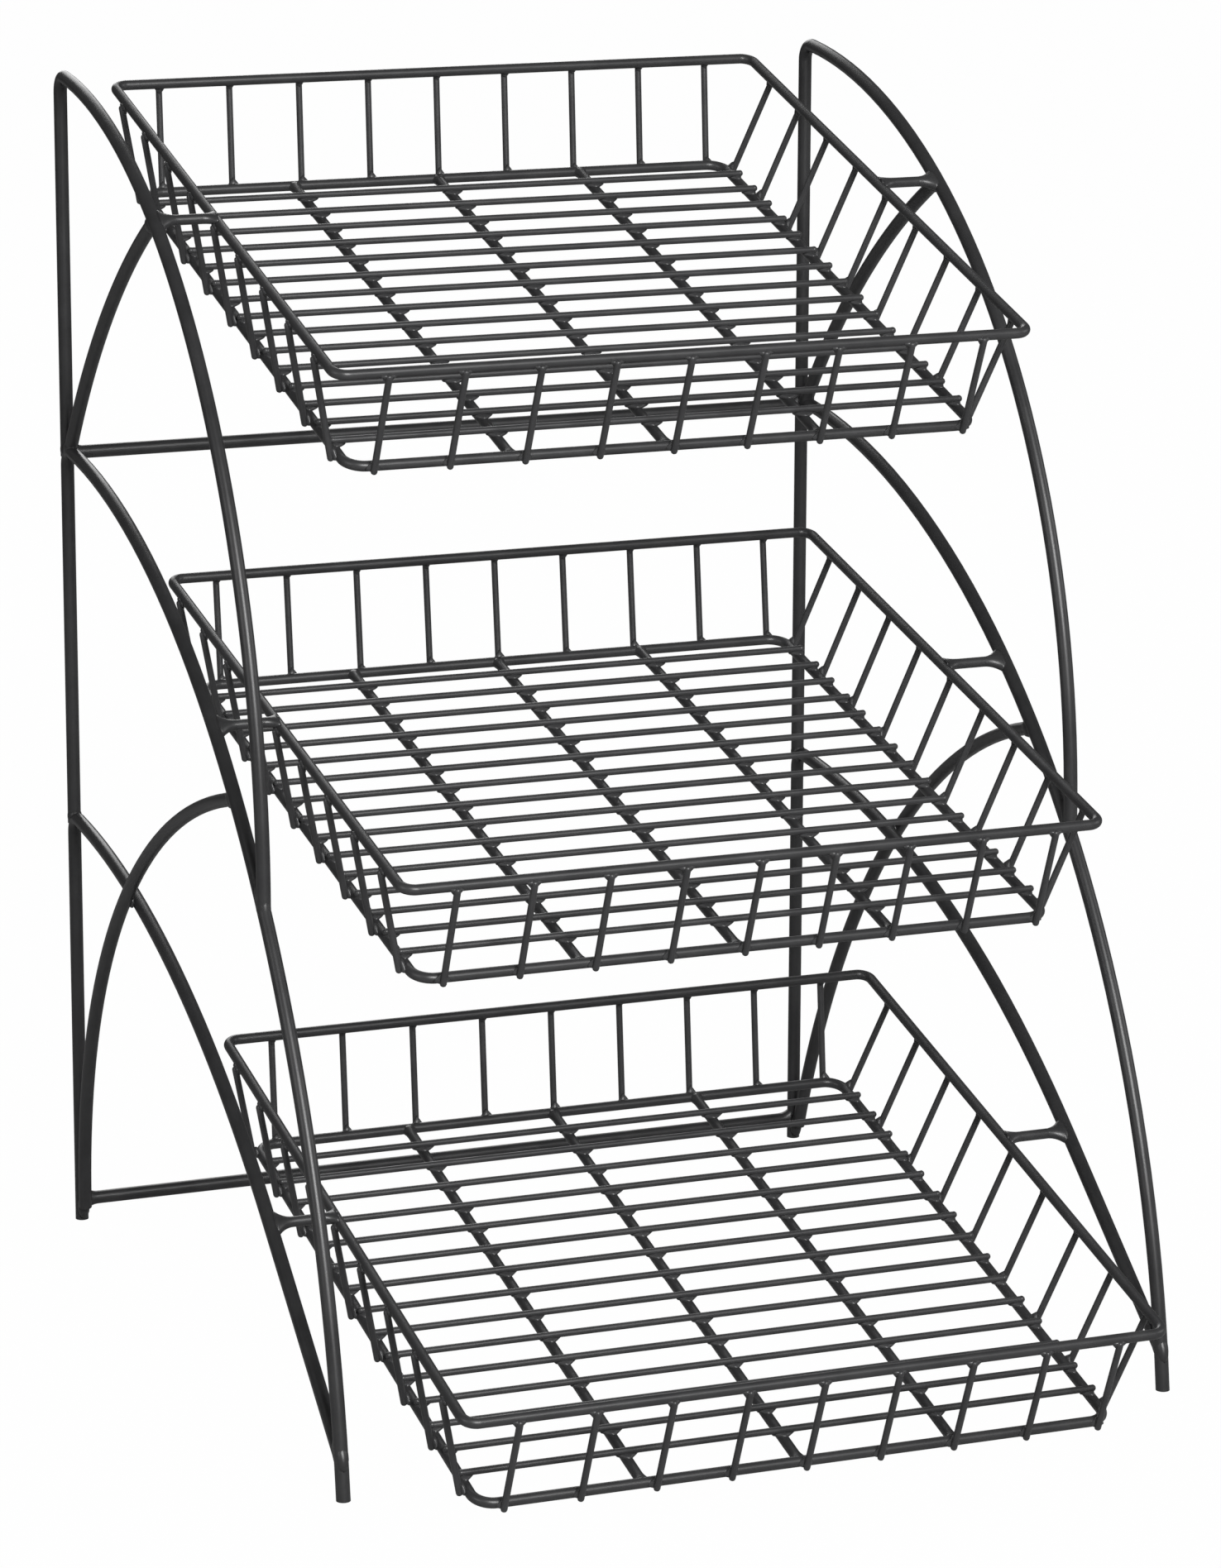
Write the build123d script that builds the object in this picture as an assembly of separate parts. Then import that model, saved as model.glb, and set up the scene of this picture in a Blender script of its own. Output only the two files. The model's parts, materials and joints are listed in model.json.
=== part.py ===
from build123d import *
from math import asin, cos, degrees, radians, sin, sqrt
import os

# A free-standing tiered wire basket: three open wire baskets, each tipped down to the front, welded
# between two side frames of bent round rod. X runs to the right, Y to the rear and Z up, in
# millimetres. The origin is the middle of the overall box, on the floor.

# Round stock, by diameter
frame_rod = 6.35
rim_wire = 4.76
mesh_wire = 3.05

# The stand as a whole
post_spacing = 380.0
toe_out = 0.7
bend_radius = 8.0
upper_cross_bar_height = 382.4
lower_cross_bar_height = 10.0

# Curved rods of a side frame: crown height, radius, and how far the centre lies behind the posts
upper_crown = 562.0
upper_radius = 323.4
upper_setback = 16.4
middle_crown = 384.0
middle_radius = 439.3
middle_setback = 24.0
lower_crown = 204.0
lower_radius = 548.0
lower_setback = 21.0

# Braces of a side frame
upper_brace_radius = 434.0
upper_brace_foot_angle = 66.0
lower_brace_radius = 349.0
lower_brace_foot_height = 8.0
lower_brace_head_reach = 267.0
brace_clearance = 0.05
shaped_end_setback = 0.8

# Baskets: how far ahead of the posts each one hangs, and its tilt in degrees
upper_basket_reach = 154.0
middle_basket_reach = 235.3
lower_basket_reach = 311.0
upper_basket_tilt = 14.9
middle_basket_tilt = 12.0
lower_basket_tilt = 13.4

# One basket, to the centrelines of its rims
basket_width = 325.2
basket_depth = 334.4
basket_height = 48.2
side_lean = 14.5
front_lean = 9.5
rear_lean = 17.2
floor_offset = -2.0
top_corner = 6.0
bottom_corner = 9.0

# Wires of a basket
wall_wire_overhang = 1.2
end_wire_count = 9
end_wire_pitch = 34.85
side_wire_count = 9
side_wire_pitch = 36.1
side_wire_shift = -1.0
floor_bar_count = 3
floor_bar_pitch = 73.0
floor_wire_count = 15
floor_wire_pitch = 19.07
floor_wire_shift = -0.85
floor_wire_end_inset = 1.6
tab_clearance = 0.1
tab_rise = 1.3

frame_radius = frame_rod / 2
rim_radius = rim_wire / 2
mesh_radius = mesh_wire / 2
half_spacing = post_spacing / 2
floor = Plane.XY


# Plane geometry of a side frame: the first coordinate runs forward from the post, the second up

def arc_centre(crown, radius, setback):
    """Centre of the curved rod that leaves its tight bend at the crown height."""
    return Vector(-setback, crown - sqrt(radius ** 2 - (bend_radius + setback) ** 2))


def bend_centre(centre, radius):
    """Centre of the tight bend that joins the post to the arc."""
    rise = sqrt((radius - bend_radius) ** 2 - (bend_radius - centre.X) ** 2)
    return Vector(bend_radius, centre.Y + rise)


def on_arc(centre, radius, reach):
    """Point of an arc at this distance ahead of the post."""
    return Vector(reach, centre.Y + sqrt(radius ** 2 - (reach - centre.X) ** 2))


def crossings(centre, radius, other, other_radius):
    """Where two circles cross, the crossing nearer the post first."""
    gap = (other - centre).length
    along = (radius ** 2 - other_radius ** 2 + gap ** 2) / (2 * gap)
    aside = sqrt(radius ** 2 - along ** 2)
    step = (other - centre).normalized()
    normal = Vector(step.Y, -step.X)
    points = [centre + step * along + normal * aside, centre + step * along - normal * aside]
    return sorted(points, key=lambda point: point.X)


def arc_about(centre, start, end):
    """Arc of less than half a turn about a centre."""
    radius = (start - centre).length
    middle = centre + ((start - centre) + (end - centre)).normalized() * radius
    return ThreePointArc(start, middle, end)


def brace_centre(foot, head, radius):
    """Centre of a brace that bulges up and to the rear, between its two ends."""
    chord = head - foot
    normal = Vector(chord.Y, -chord.X).normalized()
    return (foot + head) * 0.5 + normal * sqrt(radius ** 2 - (chord.length / 2) ** 2)


def short_of(point, centre, towards):
    """A point set back along its arc, where a rod's shaped end stops short of its neighbour's middle."""
    arm = point - centre
    turn = degrees(shaped_end_setback / arm.length)
    return centre + arm.rotate(Axis.Z, turn if arm.cross(towards - centre).Z > 0 else -turn)


def rod(path, diameter):
    """Round bar along a path."""
    return sweep(Plane(path @ 0, z_dir=path % 0) * Circle(diameter / 2), path=path)


def hooked_rod(post_foot, centre, radius, end, *straight_end):
    """A post, a tight bend forward at its top, an arc down to the end point, and then a straight run
    if the rod has one."""
    bend = bend_centre(centre, radius)
    shoulder = Vector(0, bend.Y)
    touch = centre + (bend - centre).normalized() * radius
    post = Line((0, post_foot), shoulder)
    crook = TangentArc(shoulder, touch, tangent=(0, 1))
    edges = [post.edge(), crook.edge(), arc_about(centre, touch, end).edge()]
    return rod(Wire(edges + [Line(end, point).edge() for point in straight_end]), frame_rod)


def straight_on(start, heading, centre, radius):
    """Where a straight run from inside a circle stops, just short of that circle."""
    offset = start - centre
    along = offset.dot(heading)
    reach = sqrt(along ** 2 - offset.dot(offset) + radius ** 2) - along
    return start + heading * (reach - shaped_end_setback)


def past_crook(centre, radius):
    """Point of an arc a little ahead of its tight bend."""
    return on_arc(centre, radius, 4 * bend_radius)


# Places that the rods of a side frame share
upper_centre = arc_centre(upper_crown, upper_radius, upper_setback)
middle_centre = arc_centre(middle_crown, middle_radius, middle_setback)
lower_centre = arc_centre(lower_crown, lower_radius, lower_setback)
upper_tip = short_of(crossings(upper_centre, upper_radius, middle_centre, middle_radius)[1],
                     upper_centre, Vector(0, upper_crown))
lower_tab = on_arc(lower_centre, lower_radius, lower_basket_reach)
lower_heading = (lower_tab - lower_centre).normalized().rotate(Axis.Z, -90)
lower_tip = straight_on(lower_tab, lower_heading, middle_centre, middle_radius)
leg_depth = middle_centre.Y + frame_rod
leg_end = middle_centre + Vector(sqrt(middle_radius ** 2 - leg_depth ** 2), -leg_depth)
leg_start = on_arc(middle_centre, middle_radius, lower_brace_head_reach)


def upper_brace_rod():
    """Brace from the middle rod's crook up to the upper basket's place on the upper arc."""
    turn = radians(upper_brace_foot_angle)
    foot = bend_centre(middle_centre, middle_radius) + Vector(-cos(turn), sin(turn)) * bend_radius
    head = on_arc(upper_centre, upper_radius, upper_basket_reach)
    hub = brace_centre(foot, head, upper_brace_radius)
    return rod(arc_about(hub, short_of(foot, hub, head), short_of(head, hub, foot)), frame_rod)


def lower_brace_rod():
    """Brace from the foot of the post up to the middle arc. It leans outward about its chord, enough
    to pass the lower arc on the outside."""
    foot = Vector(frame_rod + brace_clearance, lower_brace_foot_height)
    hub = brace_centre(foot, leg_start, lower_brace_radius)
    crossing = crossings(hub, lower_brace_radius, lower_centre, lower_radius)[0]
    chord = (leg_start - foot).normalized()
    stand_off = abs((crossing - foot).cross(chord).Z)
    lean = degrees(asin((frame_rod + brace_clearance) / stand_off))
    upright = rod(arc_about(hub, foot, short_of(leg_start, hub, foot)), frame_rod)
    return upright.rotate(Axis(foot, chord), -lean)


def right_side_frame():
    """The five rods of the right side frame, each end shaped to the rod that it is welded to. The
    lower one runs straight from the lower basket's tab to the front leg."""
    whole_leg = arc_about(middle_centre, past_crook(middle_centre, middle_radius), leg_end)
    lower = hooked_rod(-frame_rod, lower_centre, lower_radius, lower_tab, lower_tip)
    lower = lower - rod(whole_leg, frame_rod)
    lower_crook = hooked_rod(-frame_rod, lower_centre, lower_radius, past_crook(lower_centre, lower_radius))
    middle = hooked_rod(lower_crown - frame_radius, middle_centre, middle_radius, leg_end) - lower_crook
    upper = hooked_rod(middle_crown - frame_radius, upper_centre, upper_radius, upper_tip) - middle
    rods = {
        "lower_post_and_arc": lower,
        "middle_post_arc_and_leg": middle,
        "upper_post_and_arc": upper,
        "upper_brace": upper_brace_rod() - upper - middle,
        "lower_brace": lower_brace_rod() - middle,
    }
    turn = radians(toe_out)
    forward = Vector(sin(turn), -cos(turn), 0)
    plane = Plane(origin=(half_spacing, 0, 0), x_dir=forward, z_dir=forward.cross(Vector(0, 0, 1)))
    return {name: split(plane * piece, bisect_by=floor, keep=Keep.TOP) for name, piece in rods.items()}


def cross_bar(height, rods):
    """Bar between the rear posts, its ends shaped to the posts and to the rods welded there."""
    bar = rod(Line((-half_spacing, 0, height), (half_spacing, 0, height)), frame_rod)
    for side in (-half_spacing, half_spacing):
        bar -= Pos(side, 0, height) * Cylinder(frame_radius, 2 * frame_rod)
    for piece in rods:
        bar -= piece
    return bar


# One basket, flat, with the middle of its top rim at the origin

half_width = basket_width / 2
half_depth = basket_depth / 2
bottom_half_width = half_width - side_lean
bottom_front = half_depth - front_lean
bottom_rear = half_depth - rear_lean
bottom_middle = (bottom_rear - bottom_front) / 2
bottom_half_depth = (bottom_rear + bottom_front) / 2
wire_standoff = rim_radius + mesh_radius


def spread(count, pitch, shift):
    """Evenly pitched places about a shifted middle."""
    return [shift + pitch * (index - (count - 1) / 2) for index in range(count)]


def rim(half_across, half_along, corner, middle):
    """Closed rim with round corners."""
    outline = Pos(*middle) * RectangleRounded(2 * half_across, 2 * half_along, corner)
    return rod(outline.face().outer_wire(), rim_wire)


def outline_reach(across, half_span, reach, corner, standoff):
    """How far out a rounded rectangle, grown by the standoff, lies at a place across it."""
    beyond = max(0, abs(across) - (half_span - corner))
    return reach - corner + sqrt((corner + standoff) ** 2 - beyond ** 2)


def wall_wire(across, bottom_across, top_rim, bottom_rim, bottom_shift):
    """Ends of a wire that lies on the outside of both rims, as (reach, height), the top one first.
    Each rim is given as its half length along the wall and its reach towards the wall."""
    standoff = 0
    for step in range(2):
        top = outline_reach(across, *top_rim, top_corner, standoff)
        bottom = bottom_shift + outline_reach(bottom_across, *bottom_rim, bottom_corner, standoff)
        slope = (top - bottom) / basket_height
        standoff = wire_standoff * sqrt(1 + slope ** 2)
    return (top, 0), (bottom - slope * wall_wire_overhang, -basket_height - wall_wire_overhang)


def end_wall(facing):
    """Upright wires of the rear wall, facing 1, or the front wall, facing -1."""
    wires = []
    for x in spread(end_wire_count, end_wire_pitch, 0):
        (top, high), (bottom, low) = wall_wire(
            x, x - floor_offset, (half_width, half_depth), (bottom_half_width, bottom_half_depth),
            facing * bottom_middle)
        wires.append(rod(Line((x, facing * bottom, low), (x, facing * top, high)), mesh_wire))
    return wires


def side_wall(facing):
    """Upright wires of the right wall, facing 1, or the left wall, facing -1."""
    wires = []
    for y in spread(side_wire_count, side_wire_pitch, side_wire_shift):
        (top, high), (bottom, low) = wall_wire(
            y, y - bottom_middle, (half_depth, half_width), (bottom_half_depth, bottom_half_width),
            facing * floor_offset)
        wires.append(rod(Line((facing * bottom, y, low), (facing * top, y, high)), mesh_wire))
    return wires


def floor_bars(bottom_rim):
    """Bars from the front to the rear of the bottom rim, butted to it."""
    bars = []
    for x in spread(floor_bar_count, floor_bar_pitch, floor_offset):
        path = Line((x, bottom_middle - bottom_half_depth, -basket_height),
                    (x, bottom_middle + bottom_half_depth, -basket_height))
        bars.append(rod(path, rim_wire) - bottom_rim)
    return bars


def floor_cross_wires():
    """Fine wires that lie across the floor bars, from side to side."""
    height = wire_standoff - basket_height
    reach = bottom_half_width + rim_radius - floor_wire_end_inset
    return [rod(Line((floor_offset - reach, y, height), (floor_offset + reach, y, height)), mesh_wire)
            for y in spread(floor_wire_count, floor_wire_pitch, bottom_middle + floor_wire_shift)]


def basket(name, centre, radius, reach, tilt, frame_rods):
    """One basket, hung by its two tabs from a curved rod of each side frame."""
    tab_shift = side_wire_shift + wire_standoff + tab_clearance
    hung = Vector(0, -reach * cos(radians(toe_out)), on_arc(centre, radius, reach).Y)
    turned = Rot(tilt, 0, 0)
    place = Pos(*(hung - Vector(0, tab_shift, tab_rise).rotate(Axis.X, tilt))) * turned

    top_rim = rim(half_width, half_depth, top_corner, (0, 0, 0))
    bottom_rim = rim(bottom_half_width, bottom_half_depth, bottom_corner,
                     (floor_offset, bottom_middle, -basket_height))
    pieces = {
        "top_rim": place * top_rim,
        "bottom_rim": place * bottom_rim,
        "floor_bars": [place * bar for bar in floor_bars(bottom_rim)],
        "floor_cross_wires": [place * wire for wire in floor_cross_wires()],
        "rear_wires": [place * wire for wire in end_wall(1)],
        "front_wires": [place * wire for wire in end_wall(-1)],
        "right_wires": [place * wire for wire in side_wall(1)],
        "left_wires": [place * wire for wire in side_wall(-1)],
    }
    arc_x = half_spacing + reach * sin(radians(toe_out))
    right_tab = rod(Line(hung + Vector(half_width, 0, 0), hung + Vector(arc_x, 0, 0)), rim_wire)
    for neighbour in [pieces["top_rim"], *frame_rods]:
        right_tab -= neighbour
    pieces["right_tab"] = right_tab
    pieces["left_tab"] = mirror(right_tab, about=Plane.YZ)
    return {f"{name}_basket_{piece}": solids for piece, solids in pieces.items()}


# The whole stand, first with the rear posts on the X axis, then moved to the middle of its box
model = {}
right = right_side_frame()
for name, piece in right.items():
    model[f"right_{name}"] = piece
    model[f"left_{name}"] = mirror(piece, about=Plane.YZ)
middle_rods = [model["right_middle_post_arc_and_leg"], model["left_middle_post_arc_and_leg"]]
model["upper_cross_bar"] = cross_bar(upper_cross_bar_height, middle_rods)
model["lower_cross_bar"] = cross_bar(lower_cross_bar_height, [])
model.update(basket("upper", upper_centre, upper_radius, upper_basket_reach, upper_basket_tilt,
                    [right["upper_post_and_arc"], right["upper_brace"]]))
model.update(basket("middle", middle_centre, middle_radius, middle_basket_reach, middle_basket_tilt,
                    [right["middle_post_arc_and_leg"]]))
model.update(basket("lower", lower_centre, lower_radius, lower_basket_reach, lower_basket_tilt,
                    [right["lower_post_and_arc"]]))


def as_solids(piece):
    """Every solid of a piece, whether it is one shape or a list of them."""
    shapes = piece if isinstance(piece, list) else [piece]
    return [solid for shape in shapes for solid in shape.solids()]


parts = {name: Compound(children=as_solids(piece)) for name, piece in model.items()}
boxes = [part.bounding_box() for part in parts.values()]
front = min(box.min.Y for box in boxes)
rear = max(box.max.Y for box in boxes)
width = 2 * max(box.max.X for box in boxes)
height = max(box.max.Z for box in boxes)
print(f"overall {width:.2f} x {rear - front:.2f} x {height:.2f} mm, posts at y {-(front + rear) / 2:.3f}")

os.makedirs("parts", exist_ok=True)
for name, part in parts.items():
    export_step(Pos(0, -(front + rear) / 2, 0) * part, f"parts/{name}.step")
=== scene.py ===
import json
import math
import random

import bmesh
import bpy
from mathutils import Matrix, Vector


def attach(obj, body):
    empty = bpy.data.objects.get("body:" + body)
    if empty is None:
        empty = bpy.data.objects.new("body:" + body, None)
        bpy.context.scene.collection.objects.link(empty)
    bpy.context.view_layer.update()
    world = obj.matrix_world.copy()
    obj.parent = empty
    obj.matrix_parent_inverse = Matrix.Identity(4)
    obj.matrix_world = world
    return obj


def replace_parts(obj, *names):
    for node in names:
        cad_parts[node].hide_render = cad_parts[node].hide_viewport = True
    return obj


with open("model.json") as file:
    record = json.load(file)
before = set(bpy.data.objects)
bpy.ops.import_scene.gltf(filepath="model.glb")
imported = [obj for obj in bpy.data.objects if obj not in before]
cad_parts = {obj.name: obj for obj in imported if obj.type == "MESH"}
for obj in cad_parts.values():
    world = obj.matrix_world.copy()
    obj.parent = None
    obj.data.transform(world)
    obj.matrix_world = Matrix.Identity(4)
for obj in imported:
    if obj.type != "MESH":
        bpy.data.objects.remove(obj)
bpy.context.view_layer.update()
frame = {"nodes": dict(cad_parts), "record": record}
nodes = frame["nodes"]

# Camera, at the photograph's viewing angle: place in metres, focal length in pixels of the long side
PICTURE_LONG_SIDE = 1896.0
FOCAL_PIXELS = 7010.34
SENSOR = 36.0
CAMERA_AZIMUTH = math.radians(-21.454)
CAMERA_ELEVATION = math.radians(13.842)
CAMERA_ROLL = math.radians(0.192)
CAMERA_PLACE = (-0.94277, -2.38836, 0.89039)


def make_camera():
    data = bpy.data.cameras.new("camera")
    data.sensor_width = SENSOR
    data.lens = FOCAL_PIXELS * SENSOR / PICTURE_LONG_SIDE
    data.clip_start = 0.05
    data.clip_end = 50.0
    camera = bpy.data.objects.new("camera", data)
    bpy.context.scene.collection.objects.link(camera)
    back = Vector((math.sin(CAMERA_AZIMUTH) * math.cos(CAMERA_ELEVATION),
                   -math.cos(CAMERA_AZIMUTH) * math.cos(CAMERA_ELEVATION),
                   math.sin(CAMERA_ELEVATION)))
    right = (-back).cross(Vector((0, 0, 1))).normalized()
    up = back.cross(right)
    turned_right = right * math.cos(CAMERA_ROLL) + up * math.sin(CAMERA_ROLL)
    turned_up = up * math.cos(CAMERA_ROLL) - right * math.sin(CAMERA_ROLL)
    turn = Matrix((turned_right, turned_up, back)).transposed()
    camera.matrix_world = Matrix.Translation(CAMERA_PLACE) @ turn.to_4x4()
    bpy.context.scene.camera = camera


make_camera()


# Finish of the coated steel

MOTTLE_SCALE = 70.0
MOTTLE_DETAIL = 4.0
MOTTLE_RANGE = (0.3, 0.7)
BLUE_TINTS = (1.04, 1.03)
ROUGHNESS_RANGE = (0.33, 0.42)
PEEL_DETAIL = 3.0
PEEL_STRENGTH = 0.3


def coat(name, tone_and_painted_light, peel_scale, peel_height):
    """Satin charcoal powder coat: a fine orange peel and a faint mottle in shade and gloss. The
    peel's height is in metres."""
    material = bpy.data.materials.new(name)
    material.use_nodes = True
    tree = material.node_tree
    shader = tree.nodes["Principled BSDF"]
    place = tree.nodes.new("ShaderNodeTexCoord")
    mottle = tree.nodes.new("ShaderNodeTexNoise")
    mottle.inputs["Scale"].default_value = MOTTLE_SCALE
    mottle.inputs["Detail"].default_value = MOTTLE_DETAIL
    tree.links.new(place.outputs["Object"], mottle.inputs["Vector"])
    shade = tree.nodes.new("ShaderNodeValToRGB")
    stops = zip(shade.color_ramp.elements, MOTTLE_RANGE, tone_and_painted_light, BLUE_TINTS)
    for stop, position, level, tint in stops:
        stop.position = position
        stop.color = (level, level, level * tint, 1)
    tree.links.new(mottle.outputs["Fac"], shade.inputs["Fac"])
    tree.links.new(shade.outputs["Color"], shader.inputs["Base Color"])
    gloss = tree.nodes.new("ShaderNodeMapRange")
    gloss.inputs["To Min"].default_value = ROUGHNESS_RANGE[0]
    gloss.inputs["To Max"].default_value = ROUGHNESS_RANGE[1]
    tree.links.new(mottle.outputs["Fac"], gloss.inputs["Value"])
    tree.links.new(gloss.outputs["Result"], shader.inputs["Roughness"])
    peel = tree.nodes.new("ShaderNodeTexNoise")
    peel.inputs["Scale"].default_value = peel_scale
    peel.inputs["Detail"].default_value = PEEL_DETAIL
    tree.links.new(place.outputs["Object"], peel.inputs["Vector"])
    bump = tree.nodes.new("ShaderNodeBump")
    bump.inputs["Strength"].default_value = PEEL_STRENGTH
    bump.inputs["Distance"].default_value = peel_height
    tree.links.new(peel.outputs["Fac"], bump.inputs["Height"])
    tree.links.new(bump.outputs["Normal"], shader.inputs["Normal"])
    return material


# All three are one powder coat. The rim and wire coats are lighter copies of the frame coat: a painted
# highlight that stands in for the brighter light on the thin rims and wires.
COATS = {
    "frame_coat": coat("frame_coat", (0.021, 0.030), 420.0, 0.000012),
    "rim_coat": coat("rim_coat", (0.025, 0.035), 480.0, 0.00001),
    "wire_coat": coat("wire_coat", (0.031, 0.042), 560.0, 0.000008),
}


def finish_nodes():
    slots = {row["node"]: row["material_slot"] for row in frame["record"]["subparts"]}
    for name, node in nodes.items():
        node.data.materials.clear()
        node.data.materials.append(COATS[slots[name]])


finish_nodes()


# Places of the rods and wires, in millimetres, as in the solids

MM = 0.001
ROD_RADIUS = 3.175
RIM_RADIUS = 2.38
WIRE_RADIUS = 1.525
STANDOFF = RIM_RADIUS + WIRE_RADIUS
POSTS_Y = 235.477
HALF_SPACING = 190.0
TOE_OUT = math.radians(0.7)
BEND_RADIUS = 8.0
CROSS_BAR_HEIGHTS = (382.4, 10.0)

# Crown height, radius and setback of each curved rod
CURVES = {"upper": (562.0, 323.4, 16.4), "middle": (384.0, 439.3, 24.0), "lower": (204.0, 548.0, 21.0)}
# Reach ahead of the posts and tilt of each basket
BASKETS = {"upper": (154.0, 14.9), "middle": (235.3, 12.0), "lower": (311.0, 13.4)}
UPPER_BRACE_RADIUS = 434.0
UPPER_BRACE_FOOT_ANGLE = math.radians(66.0)
LOWER_BRACE_RADIUS = 349.0
LOWER_BRACE_FOOT = (6.4, 8.0)
LOWER_BRACE_HEAD_REACH = 267.0

HALF_WIDTH = 162.6
HALF_DEPTH = 167.2
BASKET_HEIGHT = 48.2
BOTTOM_HALF_WIDTH = 148.1
BOTTOM_FRONT = 157.7
BOTTOM_REAR = 150.0
BOTTOM_MIDDLE = (BOTTOM_REAR - BOTTOM_FRONT) / 2
BOTTOM_HALF_DEPTH = (BOTTOM_REAR + BOTTOM_FRONT) / 2
FLOOR_OFFSET = -2.0
TOP_CORNER = 6.0
BOTTOM_CORNER = 9.0
WALL_WIRE_OVERHANG = 1.2
# Height of the upright wires' tops in each wall, and how far they are pressed into the rim
WALL_WIRE_TOPS = {"rear": -1.5, "front": -0.9, "left": -1.6, "right": -2.1}
WALL_WIRE_PRESS = 0.9
TAB_PLACE = Vector((0, 3.005, 1.3))


def spread(count, pitch, shift):
    return [shift + pitch * (index - (count - 1) / 2) for index in range(count)]


END_WIRES = spread(9, 34.85, 0)
SIDE_WIRES = spread(9, 36.1, -1.0)
BARS = spread(3, 73.0, FLOOR_OFFSET)
CROSS_WIRES = spread(15, 19.07, BOTTOM_MIDDLE - 0.85)
CROSS_WIRE_REACH = BOTTOM_HALF_WIDTH + RIM_RADIUS - 1.6


def centre_of(curve):
    crown, radius, setback = CURVES[curve]
    return Vector((-setback, crown - math.sqrt(radius ** 2 - (BEND_RADIUS + setback) ** 2)))


def on_curve(curve, reach):
    """Point of a curved rod, in the plane of its side frame: reach ahead of the posts, then height."""
    centre = centre_of(curve)
    return Vector((reach, centre.y + math.sqrt(CURVES[curve][1] ** 2 - (reach - centre.x) ** 2)))


def heading_at(curve, point):
    """Way down and forward along a curved rod."""
    arm = (point - centre_of(curve)).normalized()
    return Vector((arm.y, -arm.x))


def crossing(centre, radius, other, other_radius, last):
    """Point where two circles cross: the further ahead of the two where last is 1, else the nearer."""
    gap = (other - centre).length
    along = (radius ** 2 - other_radius ** 2 + gap ** 2) / (2 * gap)
    aside = math.sqrt(radius ** 2 - along ** 2)
    step = (other - centre).normalized()
    normal = Vector((step.y, -step.x))
    points = sorted([centre + step * along + normal * aside, centre + step * along - normal * aside],
                    key=lambda point: point.x)
    return points[last]


def arc_hub(foot, head, radius):
    """Centre of a brace that bulges up and to the rear."""
    chord = head - foot
    normal = Vector((chord.y, -chord.x)).normalized()
    return (foot + head) * 0.5 + normal * math.sqrt(radius ** 2 - (chord.length / 2) ** 2)


def way_along(hub, end, other):
    """Way along a brace from one end, towards the other."""
    arm = end - hub
    way = Vector((arm.y, -arm.x)).normalized()
    return way if way.dot(other - end) > 0 else -way


class Side:
    """One side frame: turns places in its plane into places in the room."""

    def __init__(self, sign):
        self.sign = sign
        self.forward = Vector((sign * math.sin(TOE_OUT), -math.cos(TOE_OUT), 0))
        self.outward = Vector((sign * math.cos(TOE_OUT), math.sin(TOE_OUT), 0))

    def place(self, point, out=0.0):
        foot = Vector((self.sign * HALF_SPACING, POSTS_Y, 0))
        return foot + self.forward * point[0] + Vector((0, 0, point[1])) + self.outward * out

    def way(self, heading):
        return self.forward * heading[0] + Vector((0, 0, heading[1]))


class Basket:
    """One basket: turns places about the middle of its top rim into places in the room."""

    def __init__(self, name):
        reach, tilt = BASKETS[name]
        self.name = name
        self.reach = reach
        self.turn = Matrix.Rotation(math.radians(tilt), 3, "X")
        self.hung = Vector((0, POSTS_Y - reach * math.cos(TOE_OUT), on_curve(name, reach).y))
        self.origin = self.hung - self.turn @ TAB_PLACE

    def place(self, x, y, z):
        return self.origin + self.turn @ Vector((x, y, z))

    def way(self, x, y, z):
        return self.turn @ Vector((x, y, z))


def outline_reach(across, half_span, reach, corner, standoff):
    """How far out a rim runs at a distance across from its middle, past a round corner too."""
    beyond = max(0, abs(across) - (half_span - corner))
    return reach - corner + math.sqrt((corner + standoff) ** 2 - beyond ** 2)


def upright(across, bottom_across, top_rim, bottom_rim, bottom_shift):
    """An upright wire seen along its wall: both its ends, its slope, and where both rims run, each as
    how far out and how high."""
    standoff = 0
    for _ in range(2):
        top = outline_reach(across, *top_rim, TOP_CORNER, standoff)
        bottom = bottom_shift + outline_reach(bottom_across, *bottom_rim, BOTTOM_CORNER, standoff)
        slope = (top - bottom) / BASKET_HEIGHT
        standoff = STANDOFF * math.sqrt(1 + slope ** 2)
    top_line = outline_reach(across, *top_rim, TOP_CORNER, 0)
    bottom_line = bottom_shift + outline_reach(bottom_across, *bottom_rim, BOTTOM_CORNER, 0)
    ends = [(top, 0.0), (bottom - slope * WALL_WIRE_OVERHANG, -BASKET_HEIGHT - WALL_WIRE_OVERHANG)]
    return ends, slope, [(top_line, 0.0), (bottom_line, -BASKET_HEIGHT)]


def uprights():
    """Every upright wire of a basket: the wall it stands in, its shape, a function that turns its
    places into the basket's own, and the ways along and out of its wall."""
    wires = []
    for facing, end_wall, side_wall in ((1, "rear", "right"), (-1, "front", "left")):
        for x in END_WIRES:
            shape = upright(x, x - FLOOR_OFFSET, (HALF_WIDTH, HALF_DEPTH),
                            (BOTTOM_HALF_WIDTH, BOTTOM_HALF_DEPTH), facing * BOTTOM_MIDDLE)
            wires.append((end_wall, shape, lambda out, up, x=x, facing=facing: (x, facing * out, up),
                          (1, 0, 0), (0, facing, 0)))
        for y in SIDE_WIRES:
            shape = upright(y, y - BOTTOM_MIDDLE, (HALF_DEPTH, HALF_WIDTH),
                            (BOTTOM_HALF_DEPTH, BOTTOM_HALF_WIDTH), facing * FLOOR_OFFSET)
            wires.append((side_wall, shape, lambda out, up, y=y, facing=facing: (facing * out, y, up),
                          (0, 1, 0), (facing, 0, 0)))
    return wires


# Welds: smooth steel that has flowed between two rods, coated with them. Sizes are in millimetres:
# a pad or bead has its reach along and across, then its thickness, each from its middle.

WELD_SPREAD = 0.12
LENS_LEVELS = (-60, -30, 0, 30, 60)
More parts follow.
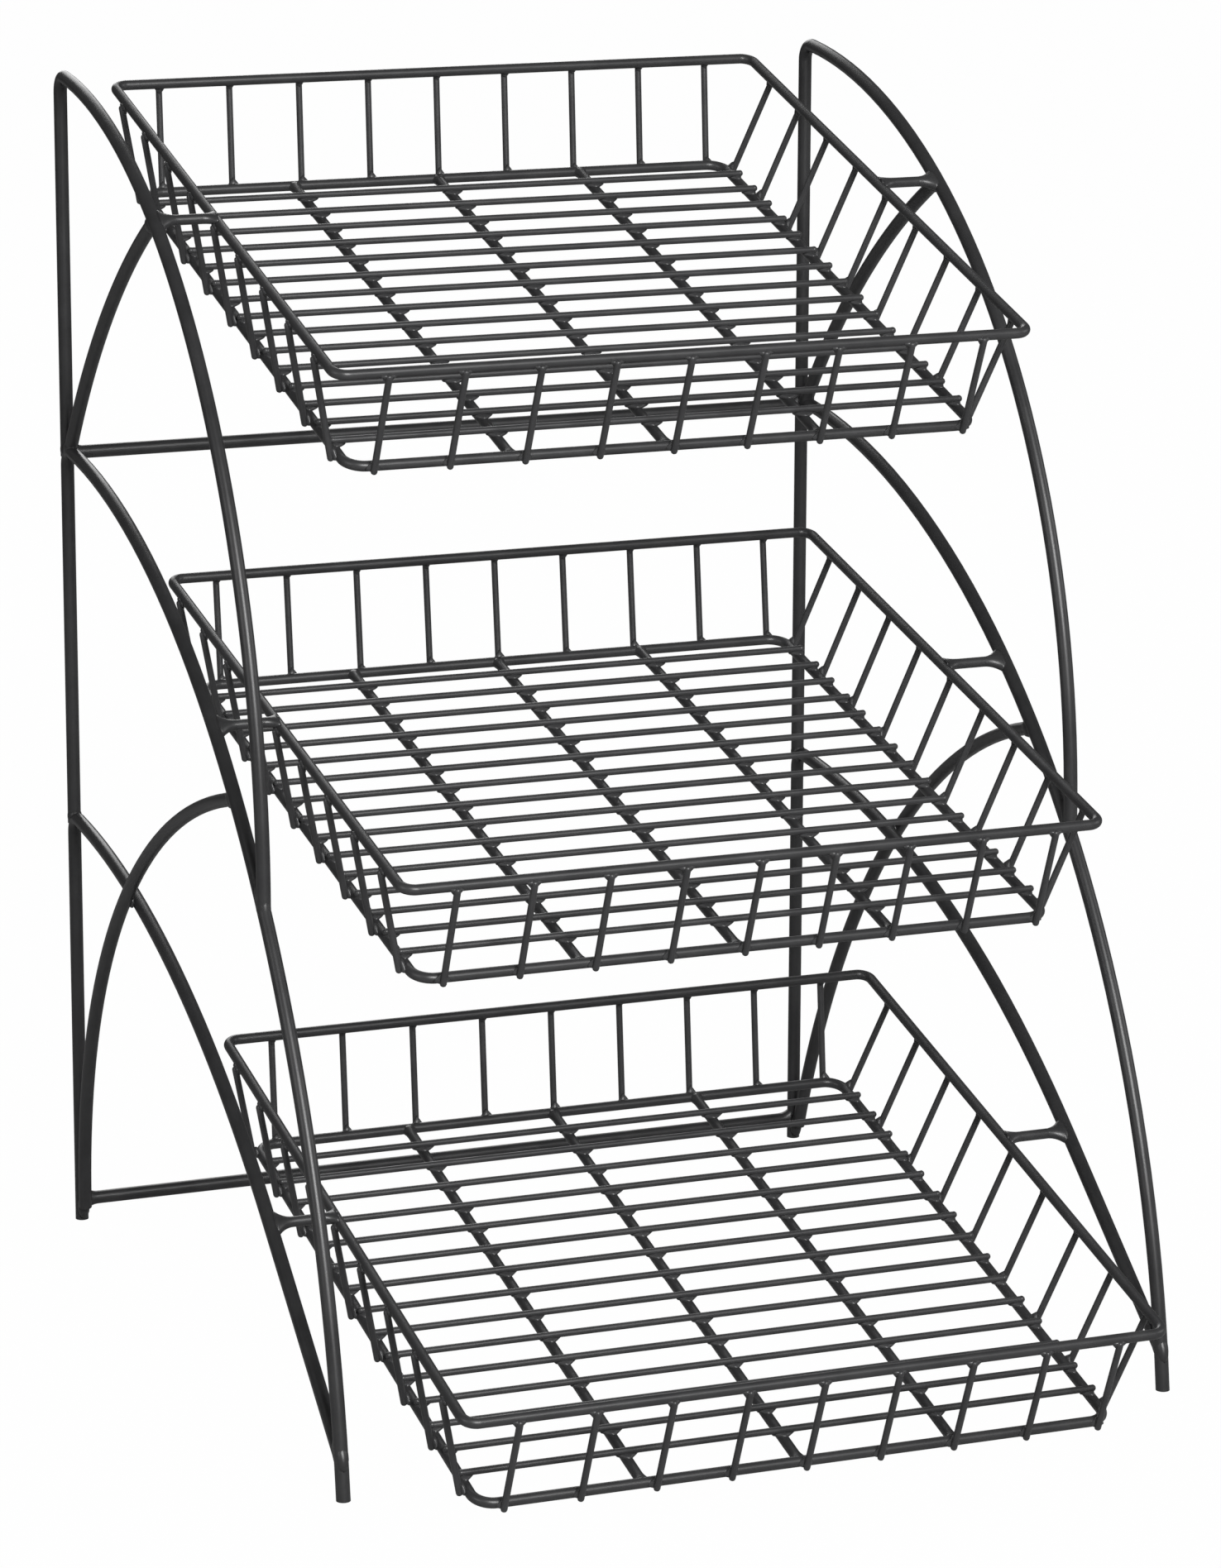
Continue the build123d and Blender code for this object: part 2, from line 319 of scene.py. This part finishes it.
# Plan of a pad: at power 1 it would be a diamond, and at 2 it is an ellipse
DIAMOND_POWER = 1.05
PAD_POINTS = 16
# Depth of a pad's middle under the surface of the rim or bar
PAD_SINK = 0.35
PAD_THICKNESS = 1.5
# Reach along and across, and reach back past the rim's or bar's far side
FLOOR_PAD = (5.2, 4.3)
FLOOR_PAD_BACK = 1.9
WALL_PAD = (5.0, 3.9)
WALL_PAD_BACKS = (1.0, 1.9)

# Round ends of wires
ROUND_END_SHARE = 0.85
ROUND_END_STEP = 0.7
WIRE_END_RADIUS = 1.62
WIRE_END_SPREAD = 0.03

# Flares: distances of both ends from the axis that they run to, then the spread along and across
FLARE_POWER = 2.3
TAB_TO_ARC_FLARE = ((11.0, 1.6), (8.0, 3.2))
TAB_TO_RIM_FLARE = ((8.0, 0.6), (6.0, 2.45))
FLOOR_BAR_FLARE = ((6.5, 0.8), (4.2, 2.42))
CROSS_BAR_FLARE = ((8.5, 1.5), (6.2, 3.3))

# Beads of a side frame: the shift along the rod from the point where the rods meet, then the size
UPPER_TIP_BEAD = (-4.0, (13.0, 4.3, 3.35))
LOWER_TIP_BEAD = (-2.5, (9.5, 4.5, 3.35))
UPPER_BRACE_BEAD = (3.0, (6.5, 4.3, 3.5))
LOWER_BRACE_BEAD = (3.2, (6.5, 4.6, 3.5))
STACKED_POST_BEAD = (4.2, 3.75, 3.6)
STACKED_POST_BEAD_ANGLE = math.radians(50)
STACKED_POST_BEAD_SHIFT = Vector((-2.2, 2.0))
LOWER_BRACE_FOOT_BEAD = (6.4, 3.6, 2.9)
LOWER_BRACE_FOOT_BEAD_RISE = 3.0
BRACE_CROSSING_BEAD = (4.4, 3.4, 1.7)


class Welds:
    """A mesh of many small weld shapes."""

    def __init__(self, name, slot, seed):
        self.name = name
        self.slot = slot
        self.mesh = bmesh.new()
        self.chance = random.Random(seed)

    def vary(self, value, share=WELD_SPREAD):
        return value * self.chance.uniform(1 - share, 1 + share)

    def rings(self, rings, start, end):
        """Skin over a run of rings of points, closed by a point at each end."""
        verts = [[self.mesh.verts.new(point * MM) for point in ring] for ring in rings]
        count = len(rings[0])
        for low, high in zip(verts, verts[1:]):
            for index in range(count):
                after = (index + 1) % count
                self.mesh.faces.new((low[index], low[after], high[after], high[index]))
        for ring, point, flip in ((verts[0], start, True), (verts[-1], end, False)):
            tip = self.mesh.verts.new(point * MM)
            for index in range(count):
                after = (index + 1) % count
                corners = (ring[after], ring[index], tip) if flip else (ring[index], ring[after], tip)
                self.mesh.faces.new(corners)

    def pad(self, centre, along, across, out, long, wide, thick, power=2.0, count=12, back=None):
        """Lens of metal with the plan of a rounded diamond, or an ellipsoid where the power is 2. It
        may reach a different length back than ahead."""
        rings = []
        for level in LENS_LEVELS:
            lift = math.radians(level)
            ring = []
            for index in range(count):
                turn = 2 * math.pi * index / count
                length = long if math.cos(turn) > 0 or back is None else back
                reach = ((abs(math.cos(turn)) / length) ** power + (abs(math.sin(turn)) / wide) ** power)
                reach = reach ** (-1 / power) * math.cos(lift)
                ring.append(centre + along * (reach * math.cos(turn)) + across * (reach * math.sin(turn))
                            + out * (thick * math.sin(lift)))
            rings.append(ring)
        self.rings(rings, centre - out * thick, centre + out * thick)

    def tube(self, start, end, side, radius, count=14):
        """Straight wire with round ends, their centres at its two ends."""
        axis = (end - start).normalized()
        other = axis.cross(side)
        tip = radius * ROUND_END_SHARE
        shape = [(start, -60), (start, -30), (start, 0), (start + axis * ROUND_END_STEP, 0),
                 (end - axis * ROUND_END_STEP, 0), (end, 0), (end, 30), (end, 60)]
        rings = []
        for point, level in shape:
            lift = math.radians(level)
            middle = point + axis * (tip * math.sin(lift))
            rings.append([middle + (side * math.cos(2 * math.pi * index / count)
                                    + other * math.sin(2 * math.pi * index / count))
                          * (radius * math.cos(lift)) for index in range(count)])
        self.rings(rings, start - axis * tip, end + axis * tip)

    def flare(self, start, end, along, radius, long, wide, count=16, steps=7):
        """Web that widens from a rod of this radius to the rod that it is welded to."""
        axis = (end - start).normalized()
        along = (along - axis * along.dot(axis)).normalized()
        across = axis.cross(along)
        rings = []
        for step in range(steps):
            share = step / (steps - 1)
            swell = share ** FLARE_POWER
            a = radius + (long - radius) * swell
            b = radius + (wide - radius) * swell
            middle = start.lerp(end, share)
            rings.append([middle + along * (a * math.cos(2 * math.pi * index / count))
                          + across * (b * math.sin(2 * math.pi * index / count))
                          for index in range(count)])
        self.rings(rings, start, end)

    def done(self):
        mesh = bpy.data.meshes.new(self.name)
        bmesh.ops.recalc_face_normals(self.mesh, faces=self.mesh.faces)
        self.mesh.to_mesh(mesh)
        self.mesh.free()
        for face in mesh.polygons:
            face.use_smooth = True
        piece = bpy.data.objects.new(self.name, mesh)
        bpy.context.scene.collection.objects.link(piece)
        mesh.materials.append(COATS[self.slot])
        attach(piece, "root")
        return piece


def floor_welds(basket, seed):
    """Pads where the floor's fine wires lie on the bars and on the bottom rim."""
    welds = Welds(f"{basket.name}_basket_floor_welds", "wire_coat", seed)
    along, across, out = basket.way(1, 0, 0), basket.way(0, 1, 0), basket.way(0, 0, 1)
    long, wide = FLOOR_PAD
    height = RIM_RADIUS - PAD_SINK - BASKET_HEIGHT
    for y in CROSS_WIRES:
        for x in BARS:
            welds.pad(basket.place(x, y, height), along, across, out, welds.vary(long),
                      welds.vary(wide), PAD_THICKNESS, DIAMOND_POWER, PAD_POINTS)
        for inward in (along, -along):
            spot = basket.place(FLOOR_OFFSET, y, height) - inward * BOTTOM_HALF_WIDTH
            welds.pad(spot, inward, across, out, welds.vary(long), welds.vary(wide), PAD_THICKNESS,
                      DIAMOND_POWER, PAD_POINTS, FLOOR_PAD_BACK)
    welds.done()


def wall_welds(basket, seed):
    """Pads where the upright wires lie on the top rim and on the bottom rim."""
    welds = Welds(f"{basket.name}_basket_wall_welds", "wire_coat", seed)
    long, wide = WALL_PAD
    for _, (_, slope, lines), put, rim_way, facing in uprights():
        length = math.sqrt(1 + slope ** 2)
        facing = Vector(facing)
        rise = (facing * slope + Vector((0, 0, 1))) / length
        out = (facing - Vector((0, 0, slope))) / length
        for line, inward, back in zip(lines, (-rise, rise), WALL_PAD_BACKS):
            spot = basket.place(*put(*line)) + basket.way(*(out * (RIM_RADIUS - PAD_SINK)))
            welds.pad(spot, basket.way(*inward), basket.way(*rim_way), basket.way(*out),
                      welds.vary(long), welds.vary(wide), PAD_THICKNESS, DIAMOND_POWER, PAD_POINTS, back)
    welds.done()


def wall_wires(basket):
    """Upright wires with rounded ends, in the place of the plain solids, whose ends are square."""
    for wall in ("rear", "front", "left", "right"):
        wires = Welds(f"{basket.name}_basket_{wall}_uprights", "wire_coat", 1)
        for owner, (ends, slope, _), put, rim_way, _ in uprights():
            if owner != wall:
                continue
            (top, _), foot = ends
            high = WALL_WIRE_TOPS[wall]
            head = (top - WALL_WIRE_PRESS + slope * high, high)
            wires.tube(basket.place(*put(*foot)), basket.place(*put(*head)), basket.way(*rim_way),
                       WIRE_RADIUS)
        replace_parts(wires.done(), f"{basket.name}_basket_{wall}_wires")


def wire_ends(basket, seed):
    """Rounded ends of the floor's fine wires."""
    welds = Welds(f"{basket.name}_basket_wire_ends", "wire_coat", seed)
    along, across, out = basket.way(1, 0, 0), basket.way(0, 1, 0), basket.way(0, 0, 1)
    for y in CROSS_WIRES:
        for x in (FLOOR_OFFSET + CROSS_WIRE_REACH, FLOOR_OFFSET - CROSS_WIRE_REACH):
            swell = welds.vary(WIRE_END_RADIUS, WIRE_END_SPREAD)
            welds.pad(basket.place(x, y, STANDOFF - BASKET_HEIGHT), along, across, out, swell, swell, swell)
    welds.done()


def bar_welds(basket, seed):
    """Webs at the tabs and at both ends of each floor bar."""
    welds = Welds(f"{basket.name}_basket_bar_welds", "rim_coat", seed)
    for sign in (1, -1):
        side = Side(sign)
        arc_x = HALF_SPACING + basket.reach * math.sin(TOE_OUT)
        heading = side.way(heading_at(basket.name, on_curve(basket.name, basket.reach)))
        gaps, size = TAB_TO_ARC_FLARE
        run = [basket.hung + Vector((sign * (arc_x - gap), 0, 0)) for gap in gaps]
        welds.flare(*run, heading, RIM_RADIUS, *size)
        gaps, size = TAB_TO_RIM_FLARE
        run = [basket.hung + Vector((sign * (HALF_WIDTH + gap), 0, 0)) for gap in gaps]
        welds.flare(*run, basket.way(0, 1, 0), RIM_RADIUS, *size)
    gaps, size = FLOOR_BAR_FLARE
    for x in BARS:
        for facing, reach in ((1, BOTTOM_REAR), (-1, BOTTOM_FRONT)):
            run = [basket.place(x, facing * (reach - gap), -BASKET_HEIGHT) for gap in gaps]
            welds.flare(*run, basket.way(1, 0, 0), RIM_RADIUS, *size)
    welds.done()


def frame_welds(sign, seed):
    """Beads where the rods of one side frame meet."""
    side = Side(sign)
    welds = Welds("right_frame_welds" if sign > 0 else "left_frame_welds", "frame_coat", seed)

    def bead(point, heading, size, out=0.0):
        way = side.way(heading.normalized())
        across = side.way(Vector((-heading.y, heading.x)).normalized())
        welds.pad(side.place(point, out), way, across, side.outward, *size, 2.0, PAD_POINTS)

    def shifted_bead(point, heading, shift_and_size):
        shift, size = shift_and_size
        bead(point + heading.normalized() * shift, heading, size)

    centres = {curve: centre_of(curve) for curve in CURVES}
    radii = {curve: CURVES[curve][1] for curve in CURVES}

    tip = crossing(centres["upper"], radii["upper"], centres["middle"], radii["middle"], 1)
    shifted_bead(tip, heading_at("upper", tip) + heading_at("middle", tip), UPPER_TIP_BEAD)

    # The lower rod runs straight on from its basket's tab to the front leg
    tab = on_curve("lower", BASKETS["lower"][0])
    heading = heading_at("lower", tab)
    offset = tab - centres["middle"]
    along = offset.dot(heading)
    tip = tab + heading * (math.sqrt(along ** 2 - offset.dot(offset) + radii["middle"] ** 2) - along)
    shifted_bead(tip, heading + heading_at("middle", tip), LOWER_TIP_BEAD)

    for curve in ("lower", "middle"):
        centre = centres[curve]
        rise = math.sqrt((radii[curve] - BEND_RADIUS) ** 2 - (BEND_RADIUS - centre.x) ** 2)
        hub = Vector((BEND_RADIUS, centre.y + rise))
        corner = hub + BEND_RADIUS * Vector((-math.cos(STACKED_POST_BEAD_ANGLE),
                                             math.sin(STACKED_POST_BEAD_ANGLE)))
        bead(corner + STACKED_POST_BEAD_SHIFT, Vector((0, 1)), STACKED_POST_BEAD)

    # The upper brace stands on the middle rod's bend, the last hub above
    foot = hub + BEND_RADIUS * Vector((-math.cos(UPPER_BRACE_FOOT_ANGLE),
                                       math.sin(UPPER_BRACE_FOOT_ANGLE)))
    head = on_curve("upper", BASKETS["upper"][0])
    brace = arc_hub(foot, head, UPPER_BRACE_RADIUS)
    shifted_bead(foot, way_along(brace, foot, head), UPPER_BRACE_BEAD)
    shifted_bead(head, way_along(brace, head, foot), UPPER_BRACE_BEAD)

    foot = Vector(LOWER_BRACE_FOOT)
    head = on_curve("middle", LOWER_BRACE_HEAD_REACH)
    brace = arc_hub(foot, head, LOWER_BRACE_RADIUS)
    shifted_bead(head, way_along(brace, head, foot), LOWER_BRACE_BEAD)
    bead(foot * 0.5 + Vector((0, LOWER_BRACE_FOOT_BEAD_RISE)), Vector((0, 1)), LOWER_BRACE_FOOT_BEAD)
    met = crossing(brace, LOWER_BRACE_RADIUS, centres["lower"], radii["lower"], 0)
    bead(met, heading_at("lower", met), BRACE_CROSSING_BEAD, ROD_RADIUS)
    welds.done()


def cross_bar_welds(seed):
    """Webs at both ends of each cross bar."""
    welds = Welds("cross_bar_welds", "frame_coat", seed)
    gaps, size = CROSS_BAR_FLARE
    for height in CROSS_BAR_HEIGHTS:
        for sign in (1, -1):
            run = [Vector((sign * (HALF_SPACING - gap), POSTS_Y, height)) for gap in gaps]
            welds.flare(*run, Vector((0, 0, 1)), ROD_RADIUS, *size)
    welds.done()


# First seeds of each kind of weld, one more for each basket or side
FLOOR_SEED, WALL_SEED, WIRE_END_SEED, BAR_SEED, FRAME_SEED, CROSS_BAR_SEED = 10, 20, 30, 40, 51, 53

for count, name in enumerate(BASKETS):
    basket = Basket(name)
    floor_welds(basket, FLOOR_SEED + count)
    wall_welds(basket, WALL_SEED + count)
    wall_wires(basket)
    wire_ends(basket, WIRE_END_SEED + count)
    bar_welds(basket, BAR_SEED + count)
frame_welds(1, FRAME_SEED)
frame_welds(-1, FRAME_SEED + 1)
cross_bar_welds(CROSS_BAR_SEED)


# Studio: a white floor and a plain white room, with soft lamps. The white is what the camera sees; the
# part itself is lit by a dimmer floor and room.

FLOOR_REACH = 30.0
FLOOR_DROP = 0.0002
FLOOR_SHADE = 0.4
WHITE_SHARE = 0.99
ROOM_LIGHT = 0.14
AIM = (0, 0, 0.3)


def seen_blend(tree, share, unseen, seen):
    """Mix of two shaders: the second takes this share where the camera looks, and the first elsewhere."""
    path = tree.nodes.new("ShaderNodeLightPath")
    scale = tree.nodes.new("ShaderNodeMath")
    scale.operation = "MULTIPLY"
    scale.inputs[1].default_value = share
    blend = tree.nodes.new("ShaderNodeMixShader")
    tree.links.new(path.outputs["Is Camera Ray"], scale.inputs[0])
    tree.links.new(scale.outputs[0], blend.inputs[0])
    tree.links.new(unseen.outputs[0], blend.inputs[1])
    tree.links.new(seen.outputs[0], blend.inputs[2])
    return blend


def studio_floor():
    mesh = bpy.data.meshes.new("studio_floor")
    corners = [(-FLOOR_REACH, -FLOOR_REACH, 0), (FLOOR_REACH, -FLOOR_REACH, 0),
               (FLOOR_REACH, FLOOR_REACH, 0), (-FLOOR_REACH, FLOOR_REACH, 0)]
    mesh.from_pydata(corners, [], [(0, 1, 2, 3)])
    floor = bpy.data.objects.new("studio_floor", mesh)
    floor.location.z = -FLOOR_DROP
    bpy.context.scene.collection.objects.link(floor)
    material = bpy.data.materials.new("studio_white")
    material.use_nodes = True
    tree = material.node_tree
    tree.nodes.clear()
    out = tree.nodes.new("ShaderNodeOutputMaterial")
    matt = tree.nodes.new("ShaderNodeBsdfDiffuse")
    matt.inputs["Color"].default_value = (FLOOR_SHADE, FLOOR_SHADE, FLOOR_SHADE, 1)
    white = tree.nodes.new("ShaderNodeEmission")
    white.inputs["Strength"].default_value = 1.0
    blend = seen_blend(tree, WHITE_SHARE, matt, white)
    tree.links.new(blend.outputs[0], out.inputs["Surface"])
    floor.data.materials.append(material)


def studio_room():
    world = bpy.data.worlds.new("studio")
    bpy.context.scene.world = world
    world.use_nodes = True
    tree = world.node_tree
    tree.nodes.clear()
    out = tree.nodes.new("ShaderNodeOutputWorld")
    room = tree.nodes.new("ShaderNodeBackground")
    room.inputs["Strength"].default_value = ROOM_LIGHT
    behind = tree.nodes.new("ShaderNodeBackground")
    behind.inputs["Color"].default_value = (1, 1, 1, 1)
    behind.inputs["Strength"].default_value = 1.0
    blend = seen_blend(tree, 1.0, room, behind)
    tree.links.new(blend.outputs[0], out.inputs["Surface"])


def lamp(name, place, size, power):
    """Square lamp: its place and size in metres, and its power in watts."""
    data = bpy.data.lights.new(name, "AREA")
    data.size = size
    data.energy = power
    light = bpy.data.objects.new(name, data)
    bpy.context.scene.collection.objects.link(light)
    light.location = place
    light.rotation_euler = (Vector(AIM) - Vector(place)).to_track_quat("-Z", "Y").to_euler()


studio_floor()
studio_room()
lamp("key_lamp", (-0.1, -2.75, 1.8), 1.1, 105)
lamp("left_lamp", (-2.6, -1.0, 1.4), 1.4, 14)
lamp("right_lamp", (2.6, -1.0, 1.4), 1.4, 14)
lamp("rear_lamp", (0.5, 2.9, 1.6), 1.4, 24)

bpy.context.scene.view_settings.view_transform = "Standard"
